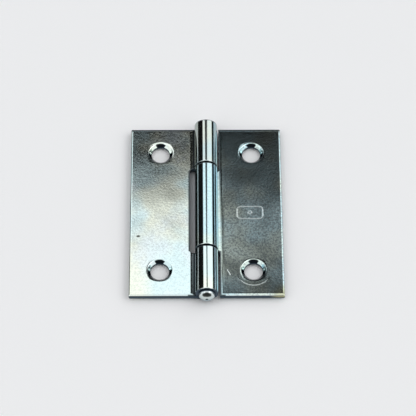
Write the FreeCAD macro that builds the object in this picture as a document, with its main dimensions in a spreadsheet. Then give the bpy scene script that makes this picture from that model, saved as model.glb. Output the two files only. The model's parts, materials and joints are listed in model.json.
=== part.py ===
import math
import os

import FreeCAD
import Part
import Sketcher

# Rectangular butt hinge pressed from sheet steel: two flat leaves whose edges are rolled into
# knuckles round one riveted pin, drawn open flat. The frame has +Y along the pin and +Z on the
# countersunk side. Its origin is under the middle of the pin, level with the barrel's lowest line.

doc = FreeCAD.newDocument("butt_hinge")

# Driving dimensions, in millimetres and degrees.
DRIVING = {
    "sheet_thickness": 1.3,
    "leaf_length": 50.0,
    "leaf_reach": 19.2,  # pin axis to the free edge of a leaf
    "pin_diameter": 3.0,
    "pin_clearance": 0.05,  # radial
    "face_below_axis": 0.9,  # half the gap between the faces of the closed leaves
    "back_bend_radius": 10.0,  # the easy bend that leads a leaf down into its roll
    "roll_end_angle": 197.5,  # where the roll stops, just clear of the face
    "middle_knuckle": 24.4,
    "knuckle_gap": 0.4,
    "far_knuckle_proud": 0.5,  # the far knuckle stands this far past its leaf
    "trim_from_barrel": 0.15,  # where the leaf's far end starts, beside the proud knuckle
    "deep_notch": 4.1,  # pin axis to the notch of the two-knuckle leaf
    "shallow_notch": 3.3,  # pin axis to the notches of the one-knuckle leaf
    "notch_corner_radius": 0.8,
    "leaf_corner_radius": 0.4,
    "hole_from_axis": 11.6,
    "hole_pitch": 35.0,
    "hole_diameter": 4.6,
    "countersink_diameter": 6.3,
    "countersink_angle": 90.0,
    "head_diameter": 4.2,
    "near_head_height": 1.6,
    "far_head_height": 1.1,
    "dimple_diameter": 0.7,
    "dimple_depth": 0.12,
    "overrun": 1.0,  # how far a cut runs clear of what it cuts
}

# Sizes that follow from the driving ones, as formulas in the sheet.
DERIVED = {
    "bore_radius": "pin_diameter / 2 + pin_clearance",
    "knuckle_radius": "bore_radius + sheet_thickness",
    "face_height": "knuckle_radius - face_below_axis",
    "back_height": "face_height - sheet_thickness",
    "half_length": "leaf_length / 2",
    "far_end": "half_length + far_knuckle_proud",
    "half_middle": "middle_knuckle / 2",
    "half_deep_notch": "half_middle + knuckle_gap",
    "beside_barrel": "knuckle_radius + trim_from_barrel",
    "past_barrel": "knuckle_radius + overrun",
    "past_end": "far_end + overrun",
    "past_reach": "leaf_reach + overrun",
    "near_head_end": "half_length + near_head_height",
    "far_head_end": "far_end + far_head_height",
    "dimple_floor": "near_head_end - dimple_depth",
    "near_bow": "(head_diameter ^ 2 / 4 + near_head_height ^ 2) / (2 * near_head_height)",
    "far_bow": "(head_diameter ^ 2 / 4 + far_head_height ^ 2) / (2 * far_head_height)",
}


def make_sheet():
    sheet = doc.addObject("Spreadsheet::Sheet", "sizes")
    cells = [(alias, str(value)) for alias, value in DRIVING.items()]
    cells += [(alias, "=" + formula) for alias, formula in DERIVED.items()]
    for row, (alias, content) in enumerate(cells, start=1):
        sheet.set(f"A{row}", alias)
        sheet.set(f"B{row}", content)
        sheet.setAlias(f"B{row}", alias)
        doc.recompute()
    return sheet


sizes = make_sheet()


def size(alias):
    """The number in a cell of the sheet, which a sketch starts from."""
    return float(sizes.get(alias))


def at(x, y):
    return FreeCAD.Vector(x, y, 0)


def around(centre, radius, angle):
    return at(centre.x + radius * math.cos(angle), centre.y + radius * math.sin(angle))


def arc(centre, radius, low, high):
    """The anticlockwise arc between two angles."""
    circle = Part.Circle(centre, FreeCAD.Vector(0, 0, 1), radius)
    return Part.ArcOfCircle(circle, low, high)


def new_body(label):
    body = doc.addObject("PartDesign::Body", label)
    body.Label = label
    return body


def new_sketch(body, name, plane):
    sketch = body.newObject("Sketcher::SketchObject", name)
    support = next(f for f in body.Origin.OriginFeatures if f.Role == plane)
    sketch.AttachmentSupport = [(support, "")]
    sketch.MapMode = "FlatFace"
    return sketch


def new_feature(body, kind, name, settings, formulas):
    """Add a feature, set it up and bind its sizes to the sheet."""
    feature = body.newObject(kind, name)
    for key, value in settings.items():
        setattr(feature, key, value)
    for key, formula in formulas.items():
        feature.setExpression(key, formula)
    doc.recompute()
    return feature


def drive(sketch, name, formula, kind, *items):
    """Add a dimension to a sketch and bind it to the sheet."""
    index = sketch.addConstraint(Sketcher.Constraint(kind, *items))
    sketch.renameConstraint(index, name)
    sketch.setExpression(f"Constraints.{name}", formula)


# How a sketch names its origin, its axes and the points of a line or an arc.
ORIGIN = (-1, 1)
UPRIGHT_AXIS = -2
START, END, CENTRE = 1, 2, 3


def draw_leaf_profile(sketch):
    """Section of a leaf that lies along -X: flat sheet, easy bend, and the roll round the pin."""
    bore, barrel = size("bore_radius"), size("knuckle_radius")
    face, back = size("face_height"), size("back_height")
    reach, thickness = size("leaf_reach"), size("sheet_thickness")
    bend = size("back_bend_radius")
    axis = at(0, barrel)
    # The bend's centre lies under the leaf, so that its arc touches the barrel's circle.
    drop = barrel - back + bend
    bend_centre = at(-math.sqrt((barrel + bend) ** 2 - drop**2), back - bend)
    touch = math.atan2(-drop, bend_centre.x)
    stop = math.radians(size("roll_end_angle"))
    roll, turn = (touch, stop), (touch + math.pi, math.pi / 2)

    shapes = [
        Part.LineSegment(at(-reach, face), at(bend_centre.x, face)),
        arc(bend_centre, bend + thickness, *turn),
        arc(axis, bore, *roll),
        Part.LineSegment(around(axis, bore, stop), around(axis, barrel, stop)),
        arc(axis, barrel, *roll),
        arc(bend_centre, bend, *turn),
        Part.LineSegment(at(bend_centre.x, back), at(-reach, back)),
        Part.LineSegment(at(-reach, back), at(-reach, face)),
    ]
    face_line, face_bend, inside, stop_line, outside, back_bend, back_line, edge = [
        sketch.addGeometry(shape, False) for shape in shapes
    ]
    for kind, *items in [
        ("Tangent", face_line, END, face_bend, END),
        ("Tangent", face_bend, START, inside, START),
        ("Coincident", inside, END, stop_line, START),
        ("Coincident", stop_line, END, outside, END),
        ("Tangent", outside, START, back_bend, START),
        ("Tangent", back_bend, END, back_line, START),
        ("Coincident", back_line, END, edge, START),
        ("Coincident", edge, END, face_line, START),
        ("Coincident", inside, CENTRE, outside, CENTRE),
        ("Coincident", face_bend, CENTRE, back_bend, CENTRE),
        ("PointOnObject", inside, CENTRE, UPRIGHT_AXIS),
        ("PointOnObject", inside, CENTRE, stop_line),
        ("Horizontal", back_line),
        ("Horizontal", face_line),
        ("Vertical", edge),
    ]:
        sketch.addConstraint(Sketcher.Constraint(kind, *items))
    drive(sketch, "axis_height", "sizes.knuckle_radius", "DistanceY", *ORIGIN, inside, CENTRE, barrel)
    drive(sketch, "bore", "sizes.bore_radius", "Radius", inside, bore)
    drive(sketch, "barrel", "sizes.knuckle_radius", "Radius", outside, barrel)
    drive(sketch, "back_bend", "sizes.back_bend_radius", "Radius", back_bend, bend)
    drive(sketch, "back", "sizes.back_height", "DistanceY", *ORIGIN, back_line, END, back)
    drive(sketch, "reach", "sizes.leaf_reach", "DistanceX", back_line, END, *ORIGIN, reach)
    stop_slope = "(sizes.roll_end_angle - 360) * 1 deg"
    drive(sketch, "roll_stop", stop_slope, "Angle", stop_line, stop - 2 * math.pi)


def draw_box(sketch, name, low_x, high_x, low_y, high_y):
    """A rectangle whose sides stand at four cells of the sheet; "-cell" lies below the origin."""

    def place(cell):
        return -size(cell[1:]) if cell.startswith("-") else size(cell)

    left, right, bottom, top = place(low_x), place(high_x), place(low_y), place(high_y)
    corners = [at(left, bottom), at(right, bottom), at(right, top), at(left, top)]
    sides = []
    for corner, following in zip(corners, corners[1:] + corners[:1]):
        sides.append(sketch.addGeometry(Part.LineSegment(corner, following), False))
    for i, side in enumerate(sides):
        sketch.addConstraint(Sketcher.Constraint("Coincident", side, END, sides[(i + 1) % 4], START))
        sketch.addConstraint(Sketcher.Constraint(("Horizontal", "Vertical")[i % 2], side))
    for label, kind, corner, cell in [
        ("left", "DistanceX", (sides[0], START), low_x),
        ("right", "DistanceX", (sides[0], END), high_x),
        ("bottom", "DistanceY", (sides[0], START), low_y),
        ("top", "DistanceY", (sides[2], START), high_y),
    ]:
        # A dimension runs upwards, so a side below the origin is measured up to it.
        ends = (*corner, *ORIGIN) if cell.startswith("-") else (*ORIGIN, *corner)
        drive(sketch, f"{name}_{label}", "sizes." + cell.lstrip("-"), kind, *ends, abs(place(cell)))


def cut_through(body, name, boxes):
    """Cut boxes, each given as the four cells its sides stand at, right through the sheet."""
    before = body.Tip.Shape.Volume
    sketch = new_sketch(body, name + "_outline", "XY_Plane")
    for number, box in enumerate(boxes, start=1):
        draw_box(sketch, f"box{number}", *box)
    doc.recompute()
    settings = {"Profile": sketch, "Type": "ThroughAll", "Midplane": True}
    cut = new_feature(body, "PartDesign::Pocket", name, settings, {})
    if not cut.Shape.Volume < before:
        raise RuntimeError(f"{name} cut nothing")
    return cut


def upright_edges(shape, spots):
    """Names of the upright edges that stand at the given places in plan."""
    names = []
    for number, edge in enumerate(shape.Edges, start=1):
        low, high = edge.BoundBox.getPoint(0), edge.BoundBox.getPoint(6)
        upright = edge.BoundBox.XLength < 0.001 and edge.BoundBox.YLength < 0.001
        for x, y in spots:
            if upright and abs(low.x - x) < 0.001 and abs(high.y - y) < 0.001:
                names.append(f"Edge{number}")
    if len(names) != len(spots):
        raise RuntimeError(f"{len(names)} edges found at {len(spots)} corners")
    return names


def make_leaf(label, notches, rounded_corners):
    """One leaf along -X: rolled sheet, notches for the other leaf's knuckles, two screw holes."""
    body = new_body(label)

    profile = new_sketch(body, label + "_profile", "XZ_Plane")
    draw_leaf_profile(profile)
    doc.recompute()
    new_feature(
        body,
        "PartDesign::Pad",
        label + "_sheet",
        {"Profile": profile, "SideType": "Two sides"},
        {"Length": "sizes.half_length", "Length2": "sizes.far_end"},
    )
    cut_through(body, label + "_far_trim", [("-past_reach", "-beside_barrel", "half_length", "past_end")])
    cut_through(body, label + "_notches", notches)

    free_edge, half_length = -size("leaf_reach"), size("half_length")
    corners = [("free_corners", "leaf_corner_radius", [(free_edge, -half_length), (free_edge, half_length)])]
    if rounded_corners:
        corners.append(("notch_corners", "notch_corner_radius", rounded_corners))
    for name, radius, spots in corners:
        base = body.Tip
        settings = {"Base": (base, upright_edges(base.Shape, spots))}
        new_feature(body, "PartDesign::Fillet", f"{label}_{name}", settings, {"Radius": f"sizes.{radius}"})

    screws = new_sketch(body, label + "_screws", "XY_Plane")
    screws.setExpression("AttachmentOffset.Base.z", "sizes.face_height")
    for name, side in [("near", -1), ("far", 1)]:
        spot = at(-size("hole_from_axis"), side * size("hole_pitch") / 2)
        radius = size("hole_diameter") / 2
        hole = screws.addGeometry(Part.Circle(spot, FreeCAD.Vector(0, 0, 1), radius), False)
        drive(screws, name + "_radius", "sizes.hole_diameter / 2", "Radius", hole, radius)
        drive(screws, name + "_x", "sizes.hole_from_axis", "DistanceX", hole, CENTRE, *ORIGIN, -spot.x)
        ends = (hole, CENTRE, *ORIGIN) if side < 0 else (*ORIGIN, hole, CENTRE)
        drive(screws, name + "_y", "sizes.hole_pitch / 2", "DistanceY", *ends, abs(spot.y))
    doc.recompute()
    before = body.Tip.Shape.Volume
    settings = {
        "Profile": screws,
        "Threaded": False,
        "DepthType": "ThroughAll",
        "HoleCutType": "Countersink",
        "HoleCutCustomValues": True,
    }
    formulas = {
        "Diameter": "sizes.hole_diameter",
        "HoleCutDiameter": "sizes.countersink_diameter",
        "HoleCutCountersinkAngle": "sizes.countersink_angle",
    }
    holes = new_feature(body, "PartDesign::Hole", label + "_holes", settings, formulas)
    if not holes.Shape.Volume < before:
        raise RuntimeError(f"{label} has no holes")
    return body


def make_pin():
    """The riveted pin: a shank, a domed head at each end and a punched dimple in the near one."""
    body = new_body("hinge_pin")
    shank, head = size("pin_diameter") / 2, size("head_diameter") / 2
    near, near_tip, near_bow = -size("half_length"), -size("near_head_end"), size("near_bow")
    far, far_tip, far_bow = size("far_end"), size("far_head_end"), size("far_bow")
    dimple, dimple_floor = size("dimple_diameter") / 2, -size("dimple_floor")

    # Each dome is an arc about a point on the pin's axis; the profile runs up its right side.
    near_centre, far_centre = at(0, near_tip + near_bow), at(0, far_tip - far_bow)
    near_rim = math.atan2(near - near_centre.y, head)
    dimple_rim = -math.acos(dimple / near_bow)
    far_rim = math.atan2(far - far_centre.y, head)
    lip = around(near_centre, near_bow, dimple_rim)

    profile = new_sketch(body, "hinge_pin_profile", "XY_Plane")
    floor_line, near_dome, near_seat, side, far_seat, far_dome, axis_line = [
        profile.addGeometry(shape, False)
        for shape in [
            Part.LineSegment(at(0, dimple_floor), lip),
            arc(near_centre, near_bow, dimple_rim, near_rim),
            Part.LineSegment(at(head, near), at(shank, near)),
            Part.LineSegment(at(shank, near), at(shank, far)),
            Part.LineSegment(at(shank, far), at(head, far)),
            arc(far_centre, far_bow, far_rim, math.pi / 2),
            Part.LineSegment(at(0, far_tip), at(0, dimple_floor)),
        ]
    ]
    for kind, *items in [
        ("Coincident", floor_line, END, near_dome, START),
        ("Coincident", near_dome, END, near_seat, START),
        ("Coincident", near_seat, END, side, START),
        ("Coincident", side, END, far_seat, START),
        ("Coincident", far_seat, END, far_dome, START),
        ("Coincident", far_dome, END, axis_line, START),
        ("Coincident", axis_line, END, floor_line, START),
        ("PointOnObject", near_dome, CENTRE, UPRIGHT_AXIS),
        ("PointOnObject", far_dome, CENTRE, UPRIGHT_AXIS),
        ("PointOnObject", floor_line, START, UPRIGHT_AXIS),
        ("PointOnObject", far_dome, END, UPRIGHT_AXIS),
        ("Horizontal", near_seat),
        ("Horizontal", far_seat),
        ("Vertical", side),
    ]:
        profile.addConstraint(Sketcher.Constraint(kind, *items))
    drive(profile, "shank", "sizes.pin_diameter / 2", "DistanceX", *ORIGIN, side, START, shank)
    drive(profile, "near_head", "sizes.head_diameter / 2", "DistanceX", *ORIGIN, near_seat, START, head)
    drive(profile, "far_head", "sizes.head_diameter / 2", "DistanceX", *ORIGIN, far_seat, END, head)
    drive(profile, "near_end", "sizes.half_length", "DistanceY", side, START, *ORIGIN, -near)
    drive(profile, "far_end", "sizes.far_end", "DistanceY", *ORIGIN, side, END, far)
    drive(profile, "near_bow", "sizes.near_bow", "Radius", near_dome, near_bow)
    drive(profile, "far_bow", "sizes.far_bow", "Radius", far_dome, far_bow)
    drive(profile, "dimple", "sizes.dimple_diameter / 2", "DistanceX", *ORIGIN, floor_line, END, dimple)
    drive(profile, "floor", "sizes.dimple_floor", "DistanceY", floor_line, START, *ORIGIN, -dimple_floor)
    doc.recompute()
    settings = {"Profile": profile, "ReferenceAxis": (profile, ["V_Axis"]), "Angle": 360}
    new_feature(body, "PartDesign::Revolution", "hinge_pin_turned", settings, {})
    body.setExpression("Placement.Base.z", "sizes.knuckle_radius")
    return body


notch_x, notch_y = -size("deep_notch"), size("half_deep_notch")
two_knuckles = make_leaf(
    "leaf_two_knuckle",
    [("-deep_notch", "past_barrel", "-half_deep_notch", "half_deep_notch")],
    [(notch_x, -notch_y), (notch_x, notch_y)],
)
one_knuckle = make_leaf(
    "leaf_one_knuckle",
    [
        ("-shallow_notch", "past_barrel", "-past_end", "-half_middle"),
        ("-shallow_notch", "past_barrel", "half_middle", "past_end"),
    ],
    [],
)
# The one-knuckle leaf faces its mate: the same roll, turned half round about the upright axis.
one_knuckle.Placement = FreeCAD.Placement(at(0, 0), FreeCAD.Rotation(FreeCAD.Vector(0, 0, 1), 180))
pin = make_pin()
doc.recompute()

for item in doc.Objects:
    if "Invalid" in item.State or "Error" in item.State:
        raise RuntimeError(f"{item.Label} failed: {item.State}")
    if item.TypeId == "Sketcher::SketchObject" and not item.FullyConstrained:
        raise RuntimeError(f"{item.Label} is not fully constrained")

os.makedirs("parts", exist_ok=True)
for body in (two_knuckles, one_knuckle, pin):
    shape = body.Shape
    if shape.isNull() or not shape.isValid() or len(shape.Solids) != 1:
        raise RuntimeError(f"{body.Label} is not one valid solid")
    shape.exportStep(f"parts/{body.Label}.step")
    box = shape.BoundBox
    print(f"{body.Label}: {shape.Volume:.1f} mm3, X {box.XMin:.2f} to {box.XMax:.2f},"
          f" Y {box.YMin:.2f} to {box.YMax:.2f}, Z {box.ZMin:.2f} to {box.ZMax:.2f}")
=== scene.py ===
import json
import math

import bmesh
import bpy
import numpy as np
from mathutils import Matrix, Vector


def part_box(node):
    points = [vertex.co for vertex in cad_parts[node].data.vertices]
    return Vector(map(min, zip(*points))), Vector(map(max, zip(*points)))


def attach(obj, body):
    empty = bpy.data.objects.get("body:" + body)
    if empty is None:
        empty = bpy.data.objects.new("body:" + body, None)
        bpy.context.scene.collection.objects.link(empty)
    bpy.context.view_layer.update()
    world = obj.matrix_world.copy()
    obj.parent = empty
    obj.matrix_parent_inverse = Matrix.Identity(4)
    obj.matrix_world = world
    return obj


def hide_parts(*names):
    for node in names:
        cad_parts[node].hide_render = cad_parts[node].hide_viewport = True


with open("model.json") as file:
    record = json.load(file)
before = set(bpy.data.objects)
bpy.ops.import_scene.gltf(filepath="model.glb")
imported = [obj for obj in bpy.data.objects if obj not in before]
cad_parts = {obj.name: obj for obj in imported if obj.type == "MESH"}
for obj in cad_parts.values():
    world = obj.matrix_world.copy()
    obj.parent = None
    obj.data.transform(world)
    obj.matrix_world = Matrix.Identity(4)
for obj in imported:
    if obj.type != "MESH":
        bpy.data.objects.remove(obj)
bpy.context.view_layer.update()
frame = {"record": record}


# ---- The two-knuckle leaf --------------------------------------------------------------------
# A flat strip of cold-rolled steel, 1.3 mm thick, sheared to a blank and rolled round the pin. The
# shear drags its face over at every edge. The notch has rounded corners from the punch, and the
# far knuckle crept half a millimetre along the pin. Bright zinc with a blue passivate follows.

MM = 0.001
mounts = {mount["name"]: mount for mount in frame["record"]["mounts"]}
screws = mounts["fixed_leaf_screws"]
hole_from_pin = -screws["pos_m"][0]
hole_radius = screws["dims"]["hole_r_mm"] * MM
hole_y = screws["dims"]["spacing_y_mm"] * MM / 2
back_height = mounts["fixed_leaf_back"]["pos_m"][2]

fixed_low, fixed_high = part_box("leaf_two_knuckle")
barrel_radius = fixed_high.z / 2
leaf_reach = -fixed_low.x
half_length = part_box("leaf_one_knuckle")[1].y
knuckle_proud = fixed_high.y - half_length

sheet = 1.3 * MM
bend_radius = 10 * MM
roll_stop = math.radians(197.5)

# The easy bend is an arc that touches the flat back and the barrel's circle.
bend_drop = barrel_radius - back_height + bend_radius
bend_angle = math.acos(bend_drop / (barrel_radius + bend_radius))
bend_from_pin = (barrel_radius + bend_radius) * math.sin(bend_angle)
roll_start = 1.5 * math.pi - bend_angle
roll_angle = roll_stop + 2 * math.pi - roll_start
bend_run = leaf_reach - bend_from_pin
roll_run = bend_run + bend_radius * bend_angle
end_run = roll_run + barrel_radius * roll_angle


def roll_up(spots, side):
    """Bend points of the flat blank into the leaf on one side of the pin.

    A point is (run, y, depth): run along the back from the free edge, depth from the back towards
    the face. The run follows a line, an arc about the bend's centre, then an arc about the pin,
    and the depth is measured along that curve's normal.
    """
    run, y, depth = spots.T
    bend = np.clip((run - bend_run) / bend_radius, 0, bend_angle)
    bent_x = -bend_from_pin + (bend_radius + depth) * np.sin(bend)
    bent_z = back_height - bend_radius + (bend_radius + depth) * np.cos(bend)
    turn = roll_start + (run - roll_run) / barrel_radius
    rolled_x = (barrel_radius - depth) * np.cos(turn)
    rolled_z = barrel_radius + (barrel_radius - depth) * np.sin(turn)
    x = np.where(run < roll_run, bent_x + np.minimum(run - bend_run, 0), rolled_x)
    z = np.where(run < roll_run, bent_z, rolled_z)
    return np.stack([-side * x, y, z], axis=1)


def smooth_step(low, high, value):
    """0 below low, 1 above high, and the cubic 3t^2 - 2t^3 between them."""
    t = np.clip((value - low) / (high - low), 0, 1)
    return t * t * (3 - 2 * t)


def flare(along, radius):
    """How far a quarter circle that ends a straight side stands out from it."""
    short = radius - np.clip(along, 0, radius)
    return radius - np.sqrt(radius**2 - short**2)


def rolled_over(distance, width, depth):
    """The drop near an edge: a quarter of an ellipse, width across and depth down."""
    t = 1 - np.clip(distance / width, 0, 1)
    return depth * (1 - np.sqrt(1 - t * t))


# Lines of the blank's grid crowd towards an edge, at equal angles of that quarter ellipse.
edge_width, edge_depth = 0.8 * MM, 0.3 * MM
quarter_turn = math.pi / 2
edge_lines = edge_width * (1 - np.cos(np.linspace(0, quarter_turn, 8)))
edge_lines = np.append(edge_lines, edge_width + 0.12 * MM)

countersink_radius = 3.15 * MM
countersink_depth = countersink_radius - hole_radius
free_corner = 0.4 * MM

# A hole is cut from a square patch of the grid. Spare lines between the patch and the edges keep
# the cells there from stretching, and points closer than one_spot are the same.
patch_half = 4.2 * MM
patch_cells = 16
spare_runs = [1.6 * MM, 2.5 * MM, 12.6 * MM, 13.4 * MM]
spare_half_lines = [22.5 * MM, 23.4 * MM]
roll_cells = 130
one_spot = 1e-7


def merge_lines(*parts):
    """Sorted grid lines, each once."""
    return np.unique(np.round(np.concatenate([np.atleast_1d(part) for part in parts]), 8))


def patch_lines(middle):
    return np.linspace(middle - patch_half, middle + patch_half, patch_cells + 1)


def grid_quads(ids, keep=True):
    """The corner ids of a grid's cells, for the cells that are kept."""
    cells = np.stack([ids[:-1, :-1], ids[1:, :-1], ids[1:, 1:], ids[:-1, 1:]], axis=-1)
    return cells[np.broadcast_to(keep, cells.shape[:2])]


def finish_mesh(name, places, quads, edge_distance):
    """A closed smooth mesh with its faces outwards, which knows how near an edge each point is."""
    mesh = bpy.data.meshes.new(name)
    mesh.from_pydata(places.tolist(), [], quads.tolist())
    attribute = mesh.attributes.new("edge_distance", "FLOAT", "POINT")
    attribute.data.foreach_set("value", edge_distance.astype(np.float32))
    solid = bmesh.new()
    solid.from_mesh(mesh)
    bmesh.ops.remove_doubles(solid, verts=solid.verts, dist=one_spot)
    bmesh.ops.recalc_face_normals(solid, faces=solid.faces)
    solid.to_mesh(mesh)
    solid.free()
    mesh.shade_smooth()
    piece = bpy.data.objects.new(name, mesh)
    bpy.context.scene.collection.objects.link(piece)
    return piece


def make_leaf(name, side, notch_run, tongues, y_lines):
    """One leaf: a plate with two countersunk holes, and tongues that roll up into knuckles.

    The blank is a grid of points on its face and another on its back. Both bow in near every
    edge, and strips of cells join them there. A tongue is (low side, high side, low corner
    radius, high corner radius, how far the high side moves out along the barrel).
    """
    spots, distances, quads = [], [], []
    trim_run, trim_half = roll_run - 0.1 * MM, 0.35 * MM
    worn_width, worn_depth = 0.16 * MM, 0.1 * MM

    def lay(run, y, depth, distance):
        run, y, depth, distance = np.broadcast_arrays(run, y, depth, distance)
        first = sum(len(block) for block in spots)
        spots.append(np.stack([run, y, depth], axis=-1).reshape(-1, 3))
        distances.append(distance.ravel())
        return first + np.arange(run.size).reshape(run.shape)

    def tongue_sides(tongue, run):
        low, high, low_corner, high_corner, proud = tongue
        along = run - notch_run
        step = proud * smooth_step(trim_run - trim_half, trim_run + trim_half, run)
        return low - flare(along, low_corner), high + flare(along, high_corner) + step

    roots = [tongue_sides(tongue, notch_run) for tongue in tongues]
    bounds = [-half_length] + [y for root in roots for y in root] + [half_length]
    walls = [pair for pair in zip(bounds[::2], bounds[1::2]) if pair[1] - pair[0] > free_corner]

    def from_walls(run, y):
        """Distance to the nearest notch wall, each a straight line across the blank."""
        beside = [np.maximum(np.maximum(low - y, y - high), 0) for low, high in walls]
        return np.min([np.hypot(run - notch_run, gap) for gap in beside], axis=0)

    def last_row(low, high):
        """The plate's last grid points before the notch that lie from low to high along it."""
        first = np.searchsorted(y_lines, low - one_spot)
        return np.s_[-1, first:np.searchsorted(y_lines, high + one_spot)]

    def both_faces(run, y, outer, inner):
        """Face and back of a stretch of sheet, from its distances to the blank's outer edges, which
        roll over, and to the notches and the roll's own edges, which only lose their sharpness."""
        rolled = smooth_step(notch_run, notch_run + 2 * MM, run)
        outer, inner = np.broadcast_arrays(outer, inner)
        distance = np.minimum(outer, inner)
        left_over = 1 - 0.7 * rolled
        roll_over = rolled_over(outer, edge_width * left_over, edge_depth * left_over)
        face_drop = np.maximum(roll_over, rolled_over(inner, worn_width, worn_depth))
        back_rise = rolled_over(distance, (0.12 + 0.06 * rolled) * MM, (0.1 + 0.05 * rolled) * MM)
        return [lay(run, y, depth, distance) for depth in (sheet - face_drop, back_rise)]

    # The plate, from the free edge to the notch.
    hole_run = leaf_reach - hole_from_pin
    runs = merge_lines(edge_lines, patch_lines(hole_run), spare_runs, notch_run - edge_lines,
                       np.linspace(spare_runs[-1], notch_run - 0.9 * MM, 3))
    run = runs[:, None]
    half_width = half_length - flare(run, free_corner)
    y = np.clip(y_lines[None, :] * half_width / half_length, -half_width, half_width)
    near_edge = np.abs(y_lines) > hole_y + patch_half
    y = np.where(near_edge[None, :], y, y_lines[None, :])
    outer = np.minimum(2.2 * run, half_width - np.abs(y))  # the free edge rolls over less
    face, back = both_faces(run, y, outer, from_walls(run, y))

    keep = np.ones((len(runs) - 1, len(y_lines) - 1), bool)
    first_run = np.searchsorted(runs, hole_run - patch_half - one_spot)
    for middle in (-hole_y, hole_y):
        first_y = np.searchsorted(y_lines, middle - patch_half - one_spot)
        block = np.s_[first_run:first_run + patch_cells, first_y:first_y + patch_cells]
        keep[block] = False
        corners = np.s_[first_run:first_run + patch_cells + 1, first_y:first_y + patch_cells + 1]
        quads.append(cut_hole(lay, face[corners], back[corners], hole_run, middle))
    quads += [grid_quads(face, keep), grid_quads(back, keep)]
    for rim in (np.s_[:, 0], np.s_[:, -1], np.s_[0, :]):
        quads.append(grid_quads(np.stack([face[rim], back[rim]])))
    for low, high in walls:
        wall = last_row(low, high)
        quads.append(grid_quads(np.stack([face[wall], back[wall]])))

    # The tongues, from the notch to the end of the roll.
    for tongue, (low_root, high_root) in zip(tongues, roots):
        corner = max(tongue[2:4])
        corner_lines = corner * (1 - np.cos(np.linspace(0, quarter_turn, 7)))
        knuckle_runs = merge_lines(notch_run + corner_lines,
                                   np.linspace(notch_run + corner, roll_run, 9),
                                   np.linspace(roll_run, end_run - 0.4 * MM, roll_cells),
                                   end_run - edge_lines * 0.45)
        root = last_row(low_root, high_root)
        share = (y_lines[root[1]] - low_root) / (high_root - low_root)
        run = knuckle_runs[1:, None]
        low, high = tongue_sides(tongue, run)
        y = low + share[None, :] * (high - low)
        outer = np.minimum(leaf_reach if tongue[2] else y - low,
                           leaf_reach if tongue[3] else high - y)
        inner = np.minimum.reduce([y - low, high - y, end_run - run + 0 * y, from_walls(run, y)])
        rows = both_faces(run, y, outer, inner)
        face_rows = np.vstack([face[root], rows[0]])
        back_rows = np.vstack([back[root], rows[1]])
        quads += [grid_quads(face_rows), grid_quads(back_rows)]
        for rim in (np.s_[:, 0], np.s_[:, -1], np.s_[-1, :]):
            quads.append(grid_quads(np.stack([face_rows[rim], back_rows[rim]])))

    places = roll_up(np.concatenate(spots), side)
    return finish_mesh(name, places, np.concatenate(quads), np.concatenate(distances))


def cut_hole(lay, face, back, hole_run, hole_middle):
    """A countersunk hole in a square of the plate: rings that run in across the face, down the
    cone and the bore, and out across the back. A ring is a circle, or a share of the way to one
    from the square's own rim."""
    def rim(block):
        return np.concatenate([block[:-1, 0], block[-1, :-1], block[:0:-1, -1], block[0, :0:-1]])

    lines = np.linspace(-patch_half, patch_half, patch_cells + 1)
    square = np.stack(np.meshgrid(lines, lines, indexing="ij"), axis=-1)
    square_rim = np.stack([rim(square[..., 0]), rim(square[..., 1])])
    angle = np.arctan2(square_rim[1], square_rim[0])
    circle = np.stack([np.cos(angle), np.sin(angle)])

    cone_top, cone_foot = countersink_radius, hole_radius
    foot_depth = sheet - countersink_depth
    rings = [  # radius, depth, share of the way from the square to the circle
        (cone_top + 0.15 * MM, sheet, 0.4),
        (cone_top + 0.15 * MM, sheet, 0.8),
        (cone_top + 0.04 * MM, sheet, 1),
        (cone_top - 0.02 * MM, sheet - 0.008 * MM, 1),
        (cone_top - 0.08 * MM, sheet - 0.034 * MM, 1),
        (cone_top - 0.14 * MM, sheet - 0.078 * MM, 1),
        (cone_top - 0.20 * MM, sheet - 0.135 * MM, 1),
        (cone_top - 0.27 * MM, sheet - 0.215 * MM, 1),
        (cone_top - 0.37 * MM, sheet - 0.330 * MM, 1),
        (cone_foot + 0.16 * MM, foot_depth + 0.16 * MM, 1),
        (cone_foot + 0.09 * MM, foot_depth + 0.09 * MM, 1),
        (cone_foot + 0.03 * MM, foot_depth + 0.02 * MM, 1),
        (cone_foot, foot_depth - 0.05 * MM, 1),
        (cone_foot, 0.10 * MM, 1),
        (cone_foot + 0.03 * MM, 0.03 * MM, 1),
        (cone_foot + 0.10 * MM, 0, 1),
        (cone_foot + 0.25 * MM, 0, 0.9),
        (cone_foot + 0.25 * MM, 0, 0.5),
    ]
    radius, depth, share = (np.array(column)[:, None] for column in zip(*rings))
    run, y = (line + share * (radius * round_line - line)
              for line, round_line in zip(square_rim, circle))
    in_bore = radius < cone_foot + 0.1 * MM
    inner = lay(hole_run + run, hole_middle + y, depth, np.where(in_bore, 0, 1 * MM))
    loops = np.vstack([rim(face), inner, rim(back)])
    return grid_quads(np.hstack([loops, loops[:, :1]]))


deep_notch_run = leaf_reach - 4.1 * MM
deep_notch_end = 12.6 * MM
notch_corner = 0.8 * MM
root_edge = deep_notch_end - notch_corner
half_lines = merge_lines(np.linspace(0, root_edge, 6), root_edge + edge_lines, patch_lines(hole_y),
                         spare_half_lines, half_length - edge_lines)
two_knuckle = make_leaf(
    "two_knuckle_leaf",
    -1,
    deep_notch_run,
    [(-half_length, -deep_notch_end, 0, notch_corner, 0),
     (deep_notch_end, half_length, notch_corner, 0, knuckle_proud)],
    merge_lines(-half_lines, half_lines),
)
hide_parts("leaf_two_knuckle")
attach(two_knuckle, "fixed_leaf")


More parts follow.
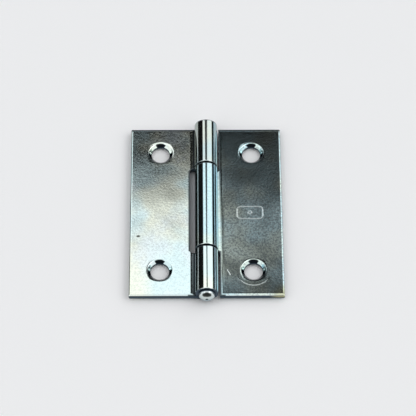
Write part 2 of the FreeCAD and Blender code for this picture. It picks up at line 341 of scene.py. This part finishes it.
class Wire:
    """A socket of a node tree. Arithmetic on it adds Math nodes."""

    def __init__(self, tree, socket=None):
        self.tree = tree
        self.socket = socket

    def add(self, kind, settings, inputs, output=0):
        """Add a node, set it up, feed its sockets, and return the wire from one output."""
        node = self.tree.nodes.new("ShaderNode" + kind)
        for name, value in settings.items():
            setattr(node, name, value)
        for name, value in inputs.items():
            if isinstance(value, Wire):
                self.tree.links.new(value.socket, node.inputs[name])
            else:
                node.inputs[name].default_value = value
        return Wire(self.tree, node.outputs[output])

    def math(self, operation, *values):
        return self.add("Math", {"operation": operation}, dict(enumerate(values)))

    def __add__(self, other):
        return self.math("ADD", self, other)

    def __sub__(self, other):
        return self.math("SUBTRACT", self, other)

    def __rsub__(self, other):
        return self.math("SUBTRACT", other, self)

    def __mul__(self, other):
        return self.math("MULTIPLY", self, other)

    def __truediv__(self, other):
        return self.math("DIVIDE", self, other)

    __radd__ = __add__
    __rmul__ = __mul__

    def __abs__(self):
        return self.math("ABSOLUTE", self)

    def larger(self, other):
        return self.math("MAXIMUM", self, other)

    def hypot(self, other):
        """The long side of a right-angled triangle with these two sides."""
        return self.math("SQRT", self * self + other * other)

    def ramp(self, low, high):
        """0 at low and 1 at high, smooth between them; low may be the greater."""
        settings = {"interpolation_type": "SMOOTHSTEP"}
        return self.add("MapRange", settings, {"Value": self, "From Min": low, "From Max": high})

    def blend(self, first, second):
        """A colour that goes from first to second as this wire goes from 0 to 1."""
        settings = {"data_type": "RGBA", "clamp_factor": True}
        return self.add("Mix", settings, {0: self, 6: first, 7: second}, 2)

    def noise(self, size, detail=2, stretch=(1, 1, 1), seed=0):
        """Noise over this wire's vector, with features about size across."""
        scale = tuple(part / size for part in stretch)
        place = (seed, 1.7 * seed, 0)
        moved = self.add("Mapping", {}, {"Vector": self, "Scale": scale, "Location": place})
        return self.add("TexNoise", {}, {"Vector": moved, "Scale": 1, "Detail": detail})

    def split(self):
        """The three parts of this wire's vector."""
        return [self.add("SeparateXYZ", {}, {"Vector": self}, part) for part in range(3)]


def new_material(name):
    material = bpy.data.materials.new(name)
    material.use_nodes = True
    material.node_tree.nodes.clear()
    return material, Wire(material.node_tree)


def connect_output(wire, surface, kind):
    """Send a finished surface to the tree's output."""
    output = wire.tree.nodes.new("ShaderNodeOutput" + kind)
    wire.tree.links.new(surface.socket, output.inputs["Surface"])


def rgb(red, green, blue):
    return (red, green, blue, 1)


def zinc(name, seed, cyan, straw, lilac, crown, mottling, crease_painted_shade, away_face_painted_shade, marks):
    """Plated sheet: three tints in drifts, mottle, orange peel, scuffs and worn bright edges, with
    painted shade and painted reflections.

    The plate is faintly crowned: crown is its slope beside the pin, which halves by the free edge.
    marks returns the piece's own spots as a list of (share, colour, depth).
    """
    material, wire = new_material(name)
    place = wire.add("TexCoord", {}, {}, "Object")
    x, y, z = place.split()
    from_pin = abs(x)
    away = wire.add("TexCoord", {}, {}, "Normal").split()[1]
    from_hole = (from_pin - hole_from_pin).hypot(abs(y) - hole_y)
    edge = wire.add("Attribute", {"attribute_name": "edge_distance"}, {}, "Fac")
    plate = from_pin.ramp(3.6 * MM, 4.6 * MM)
    barrel_top = (1.0 - plate) * z.ramp(2.4 * MM, 3.0 * MM)

    # The passivate's tints drift over the plate, and the coarse grain of the sheet shows in it.
    drift = place.noise(13 * MM, 2, seed=seed)
    second_drift = place.noise(9 * MM, 3, seed=seed + 5.2)
    mottle = place.noise(0.52 * MM, 3, seed=seed + 1.3)
    grain = place.noise(0.28 * MM, 2, seed=seed + 2.1)
    tint = drift.ramp(0.42, 0.6).blend(cyan, straw)
    tint = (second_drift.ramp(0.52, 0.7) * 0.75).blend(tint, lilac)
    mottling = (0.2 + 0.8 * plate) * mottling
    tint = (mottle.ramp(0.41, 0.64) * mottling).blend(tint, rgb(0.22, 0.29, 0.31))
    tint = (grain.ramp(0.43, 0.65) * mottling * 0.7).blend(tint, rgb(0.95, 1.0, 1.0))
    # A painted blue reflection along the barrel's +x flank and a painted shade along its -x flank.
    painted_blue_reflection_band = x.ramp(1.65 * MM, 2.0 * MM) * barrel_top * 0.55
    tint = painted_blue_reflection_band.blend(tint, rgb(0.20, 0.42, 0.58))
    painted_flank_shade = x.ramp(-1.9 * MM, -2.2 * MM) * barrel_top * 0.55
    tint = painted_flank_shade.blend(tint, rgb(0.16, 0.20, 0.21))
    worn_edge = edge.ramp(0.6 * MM, 0.1 * MM) * 0.4
    tint = worn_edge.blend(tint, rgb(0.84, 0.90, 0.92))

    # Painted shade and painted dark reflections: the colour is painted dark in the crease beside
    # the barrel, on the notch walls and the knuckles' rims, in the bores and parts of the
    # countersinks, and on faces that look away along the pin.
    crease = from_pin.ramp(3.65 * MM, 3.2 * MM) * z.ramp(3.9 * MM, 3.4 * MM)
    crease = crease * z.ramp(0.9 * MM, 1.3 * MM)
    notch = edge.ramp(0.5 * MM, 0.3 * MM) * from_pin.ramp(4.8 * MM, 4.5 * MM)
    notch = notch * z.ramp(2.6 * MM, 2.3 * MM)
    rim = edge.ramp(0.24 * MM, 0.14 * MM) * z.ramp(2.2 * MM, 2.6 * MM)
    rim = rim * from_pin.ramp(1.1 * MM, 1.6 * MM)
    cone = from_hole.ramp(countersink_radius + 0.02 * MM, countersink_radius - 0.06 * MM)
    # The countersink's near half and a patch on its far side are painted dark: painted dark
    # reflections.
    near_cone_dark_reflection = cone * away.ramp(-0.14, 0.02)
    far_cone_dark_reflection = cone * away.ramp(-0.665, -0.685)
    bore = from_hole.ramp(hole_radius + 0.14 * MM, hole_radius + 0.05 * MM)
    painted_shade = away.ramp(0.015, 0.12) * away_face_painted_shade
    for part in (crease * crease_painted_shade, notch * 0.85, near_cone_dark_reflection, far_cone_dark_reflection, bore, rim * 0.8):
        painted_shade = painted_shade.larger(part)
    tint = painted_shade.blend(tint, rgb(0.022, 0.03, 0.038))
    # The sheared edge walls are painted dark: partly the rough sheared steel, partly painted shade.
    sheared_and_shaded = edge.ramp(0.10 * MM, 0.02 * MM)
    tint = sheared_and_shaded.blend(tint, rgb(0.05, 0.075, 0.10))

    scuffs = place.noise(0.9 * MM, 3, stretch=(1, 0.22, 1), seed=seed + 7.7).ramp(0.71, 0.76)
    roughness = 0.075 + 0.045 * mottle.ramp(0.3, 0.8) + 0.04 * scuffs + 0.2 * sheared_and_shaded
    crown_start = 4.0 * MM
    beyond = (from_pin - crown_start).larger(0.0)
    height = (beyond * (0.25 / (leaf_reach - crown_start)) - 1.0) * beyond * crown
    wave = place.noise(11 * MM, 1, seed=seed + 9.1) - 0.5
    height = height + plate * 0.05 * MM * wave
    orange_peel = 0.0030 * MM * mottle + 0.0010 * MM * grain
    height = height + (0.3 + 0.7 * plate) * orange_peel - 0.0002 * MM * scuffs
    for share, colour, depth in marks(x, y, z, from_hole):
        share = share * z.ramp(1.0 * MM, 1.3 * MM)
        tint = share.blend(tint, colour)
        height = height - depth * share
    bump = wire.add("Bump", {}, {"Strength": 1.0, "Distance": 1.0, "Height": height})
    surface = wire.add("BsdfPrincipled", {}, {
        "Base Color": tint, "Metallic": 1.0, "Roughness": roughness, "Normal": bump})
    connect_output(wire, surface, "Material")
    return material


def fixed_marks(x, y, z, from_hole):
    """A painted dark reflection on the far knuckle, and a burnt fleck near the free edge."""
    from_fleck = (x + 17.0 * MM).hypot((y + 7.6 * MM) * 1.6)
    # The far knuckle's top is painted darker: a painted dark reflection.
    far_knuckle_dark_reflection = y.ramp(11.5 * MM, 13.5 * MM) * z.ramp(2.6 * MM, 3.2 * MM)
    return [(far_knuckle_dark_reflection * 0.35, rgb(0.30, 0.38, 0.38), 0.0),
            (from_fleck.ramp(0.62 * MM, 0.3 * MM) * 0.9, rgb(0.03, 0.03, 0.02), 0.002 * MM)]


fixed_zinc = zinc("fixed_leaf_zinc", seed=3.0, cyan=rgb(0.72, 0.89, 0.90),
                  straw=rgb(0.87, 0.91, 0.79), lilac=rgb(0.78, 0.87, 0.90), crown=0.046,
                  mottling=0.10, crease_painted_shade=0.97, away_face_painted_shade=0.95, marks=fixed_marks)
two_knuckle.data.materials.append(fixed_zinc)


# ---- The one-knuckle leaf --------------------------------------------------------------------
# The mate, from the same strip. Its long middle knuckle fills the other leaf's notch, and its own
# notches are cut closer to the pin with a worn punch that left square corners. Its face took a
# plain stamp, and its plating is more mottled. Its tints are a shade darker: partly its own tone,
# partly a painted darker reflection.

shallow_notch_run = bend_run + bend_from_pin - 3.3 * MM
knuckle_end = 12.2 * MM
punch_corner = 0.12 * MM
root_edge = knuckle_end + punch_corner
half_lines = merge_lines(np.linspace(0, root_edge - 1.5 * MM, 5), root_edge - edge_lines,
                         patch_lines(hole_y), spare_half_lines, half_length - edge_lines)
one_knuckle = make_leaf(
    "one_knuckle_leaf",
    1,
    shallow_notch_run,
    [(-knuckle_end, knuckle_end, punch_corner, punch_corner, 0)],
    merge_lines(-half_lines, half_lines),
)
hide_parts("leaf_one_knuckle")
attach(one_knuckle, "swing_leaf")


def swing_marks(x, y, z, from_hole):
    """A stain at the near corner, a stamped cartouche with a ring, and two scratches."""
    stain = (x - leaf_reach).hypot(y + half_length).ramp(4.2 * MM, 1.2 * MM)

    # The cartouche's outline is all the points at one distance, its corner radius, from a smaller
    # rectangle inside it.
    inner_half_width, inner_half_length, corner = 2.3 * MM, 0.9 * MM, 0.9 * MM
    line_width, line_core = 0.17 * MM, 0.06 * MM
    aside, along = x - 11.0 * MM, y + 0.7 * MM
    beside = (abs(aside) - inner_half_width).larger(0.0)
    beyond = (abs(along) - inner_half_length).larger(0.0)
    outline = abs(beside.hypot(beyond) - corner).ramp(line_width, line_core)
    small_ring = abs(aside.hypot(along) - 0.45 * MM).ramp(line_width, line_core)
    stamp = outline.larger(small_ring)

    arc = abs(from_hole - 4.5 * MM).ramp(0.16 * MM, 0.03 * MM) * y.ramp(-19.4 * MM, -21.0 * MM)
    aside, along = x - 5.5 * MM, y + 18.25 * MM
    across = aside * 0.9 + along * 0.43
    lengthways = along * 0.9 - aside * 0.43
    nick = abs(across).ramp(0.12 * MM, 0.03 * MM) * abs(lengthways).ramp(1.1 * MM, 0.8 * MM)
    bright = rgb(0.95, 1.0, 1.0)
    return [(stain * 0.6, rgb(0.58, 0.56, 0.30), 0.0), (stamp * 0.8, bright, 0.022 * MM),
            (arc * 0.8, bright, 0.016 * MM), (nick * 0.9, bright, 0.016 * MM)]


# The darker tints here are partly a painted darker reflection.
swing_zinc = zinc("swing_leaf_zinc", seed=11.0, cyan=rgb(0.60, 0.83, 0.88),
                  straw=rgb(0.73, 0.85, 0.76), lilac=rgb(0.60, 0.80, 0.85), crown=0.046,
                  mottling=0.6, crease_painted_shade=0.0, away_face_painted_shade=0.95, marks=swing_marks)
one_knuckle.data.materials.append(swing_zinc)


# ---- The pin ---------------------------------------------------------------------------------
# A length of drawn wire, headed at both ends after the leaves are threaded on. The near head is
# fuller and carries the small dimple of the riveting tool.

pin_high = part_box("hinge_pin")[1]
head_radius = pin_high.x
shank_radius = 1.5 * MM
near_head, far_head = 1.6 * MM, pin_high.y - fixed_high.y
dimple_radius, dimple_depth = 0.35 * MM, 0.12 * MM


def dome(height, flatness, steps):
    """Radius and height of points on a hammered head: a flattened cap, h (1 - (r/R)^p)^(1/p)."""
    share = np.sin(np.linspace(0, math.pi / 2, steps))
    return head_radius * share, height * (1 - share**flatness) ** (1 / flatness)


near_r, near_h = dome(near_head, 2.05, 26)
near_h = near_h - dimple_depth * (1 - smooth_step(0.4 * dimple_radius, 1.5 * dimple_radius, near_r))
far_r, far_h = dome(far_head, 2.4, 20)
seat_radius = head_radius - 0.02 * MM
radii = np.concatenate([near_r, [seat_radius, shank_radius, shank_radius, seat_radius],
                        far_r[::-1]])
ends = np.concatenate([-half_length - near_h, [-half_length, -half_length],
                       [fixed_high.y, fixed_high.y], fixed_high.y + far_h[::-1]])
around = np.linspace(0, 2 * math.pi, 64, endpoint=False)
turned = np.stack([radii[:, None] * np.cos(around), ends[:, None] + 0 * around,
                   barrel_radius + radii[:, None] * np.sin(around)], axis=-1)
ids = np.arange(len(radii) * len(around)).reshape(len(radii), -1)
pin = finish_mesh("riveted_pin", turned.reshape(-1, 3), grid_quads(np.hstack([ids, ids[:, :1]])),
                  np.repeat(head_radius - radii, len(around)))
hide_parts("hinge_pin")
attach(pin, "fixed_leaf")


def pin_marks(x, y, z, from_hole):
    """Painted shade on the near head's underside, a painted dark reflection on its shoulder, and
    painted shade in its dimple.
    """
    near = y.ramp(0.0, -half_length)
    rise = z - barrel_radius
    from_axis = rise.hypot(x)
    # The near head's underside is painted darker: painted shade.
    underside_shade = rise.ramp(0.5 * MM, -0.7 * MM) * from_axis.ramp(head_radius, 0.8 * head_radius)
    # A painted dark reflection on the near head's shoulder.
    shoulder = abs(x).ramp(1.25 * MM, 0.95 * MM) * rise.ramp(0.85 * MM, 1.1 * MM)
    shoulder = shoulder * from_axis.ramp(0.92 * head_radius, 0.85 * head_radius)
    return [(near * underside_shade * 0.6, rgb(0.22, 0.30, 0.34), 0.0),
            (near * shoulder * 0.92, rgb(0.03, 0.035, 0.03), 0.0),
            (near * from_axis.ramp(0.42 * MM, 0.25 * MM), rgb(0.04, 0.06, 0.08), 0.0)]


pin_zinc = zinc("pin_zinc", seed=21.0, cyan=rgb(0.60, 0.72, 0.77), straw=rgb(0.68, 0.72, 0.66),
                lilac=rgb(0.58, 0.68, 0.75), crown=0.0, mottling=0.1, crease_painted_shade=0.0,
                away_face_painted_shade=0.0, marks=pin_marks)
pin.data.materials.append(pin_zinc)


# ---- The table, the light and the camera ----------------------------------------------------
# The hinge lies open on a white table under two long soft lamps, which end at a slant so that the
# plates fade along their length. Pale walls stand on the camera's side, with a person before them.

floor_mesh = bpy.data.meshes.new("floor")
reach = 1.5
floor_corners = [(-reach, -reach, 0), (reach, -reach, 0), (reach, reach, 0), (-reach, reach, 0)]
floor_mesh.from_pydata(floor_corners, [], [(0, 1, 2, 3)])
floor = bpy.data.objects.new("floor", floor_mesh)
bpy.context.scene.collection.objects.link(floor)
paper, wire = new_material("white_table")
place = wire.add("TexCoord", {}, {}, "Object")
shade = place.noise(0.5 * MM, 3).blend(rgb(0.965, 0.955, 0.96), rgb(0.99, 0.98, 0.985))
x, y, _ = place.split()
# A painted shadow on the table under the barrel.
painted_barrel_shadow = abs(x).ramp(6.5 * MM, 4.5 * MM) * abs(y).ramp(15 * MM, 12.5 * MM)
shade = (painted_barrel_shadow * 0.5).blend(shade, rgb(0.30, 0.27, 0.30))
surface = wire.add("BsdfPrincipled", {}, {
    "Base Color": shade, "Roughness": 0.6, "Specular IOR Level": 0.2})
connect_output(wire, surface, "Material")
floor_mesh.materials.append(paper)

world = bpy.data.worlds.new("studio")
bpy.context.scene.world = world
world.use_nodes = True
world.node_tree.nodes.clear()
wire = Wire(world.node_tree)
across, back_way, up = wire.add("TexCoord", {}, {}, "Generated").split()
degrees = 180 / math.pi
tilt = wire.math("ARCTAN2", across, up) * degrees
elevation = up.math("ARCSINE", up) * degrees
azimuth = wire.math("ARCTAN2", across, 0.0 - back_way) * degrees
aside = abs(azimuth)

# Each lamp runs from the front to the back of the sky, between two tilts from straight overhead.
# back_way is how far back a direction points; the barrel reflects barrel_way to the camera.
barrel_way, plate_way = 0.545, 0.53
left_tilt, right_tilt = -32.0, 63.0
past_barrel = back_way - barrel_way
left_end = past_barrel * -170.0 - 4.35
left_end = left_end.math("MINIMUM", left_end, -1.0)
left_lamp = (tilt - left_tilt).ramp(-3.0, 3.0) * (left_end - tilt).ramp(-2.0, 2.0)
right_end = (past_barrel * 165.0 + 3.2).larger((plate_way - back_way) * 110.0 + 2.5).larger(2.5)
right_lamp = (tilt - right_end).ramp(0.0, 8.8) * (right_tilt - tilt).ramp(-3.0, 3.0)
overhead = back_way.ramp(0.46, 0.34) * (tilt - left_tilt).ramp(-3.0, 3.0)
overhead = overhead * (60.0 - tilt).ramp(-3.0, 3.0)
lamps = left_lamp.larger(right_lamp).larger(overhead)
lamps = lamps * back_way.ramp(-0.5, -0.35) * back_way.ramp(0.8, 0.7)
lamp_power = 1.2 - 0.22 * back_way.ramp(0.46, 0.3)

walls = aside.ramp(112.0, 102.0) * elevation.ramp(66.0, 56.0)
person_width = abs(elevation - 32.0) * 0.55 + 29.0
person = (person_width - aside).ramp(-3.0, 3.0)
person = person * elevation.ramp(-2.0, 3.0) * elevation.ramp(66.0, 58.0)
window = (azimuth - 108.0).ramp(-4.0, 4.0) * elevation.ramp(8.0, 3.0) * 0.16
far_wall = back_way.ramp(0.61, 0.71) * up.ramp(0.0, 0.05) * 0.6
radiance = lamps * lamp_power + walls * (1.02 - 0.76 * person) + window + far_wall + 0.006
colour = window.ramp(0.0, 0.1).blend(rgb(0.97, 0.99, 1.0), rgb(0.45, 0.85, 1.0))
sky = wire.add("Background", {}, {"Color": colour, "Strength": radiance})
connect_output(wire, sky, "World")

camera_data = bpy.data.cameras.new("camera")
camera_data.lens = 176.6
camera_data.clip_start = 0.01
camera = bpy.data.objects.new("camera", camera_data)
bpy.context.scene.collection.objects.link(camera)
bpy.context.scene.camera = camera
target, camera_distance = Vector((0.44, 0.71, 1.95)) * MM, 0.514
height_angle, side_angle, roll = math.radians(56.9), math.radians(-0.64), math.radians(0.36)
back_axis = Vector((math.sin(side_angle) * math.cos(height_angle),
                    -math.cos(side_angle) * math.cos(height_angle), math.sin(height_angle)))
level = Vector((math.cos(side_angle), math.sin(side_angle), 0))
upright = back_axis.cross(level)
right_axis = level * math.cos(roll) + upright * math.sin(roll)
up_axis = upright * math.cos(roll) - level * math.sin(roll)
turn = Matrix((right_axis, up_axis, back_axis)).transposed()
camera.matrix_world = Matrix.Translation(target + back_axis * camera_distance) @ turn.to_4x4()
bpy.context.scene.view_settings.view_transform = "Standard"
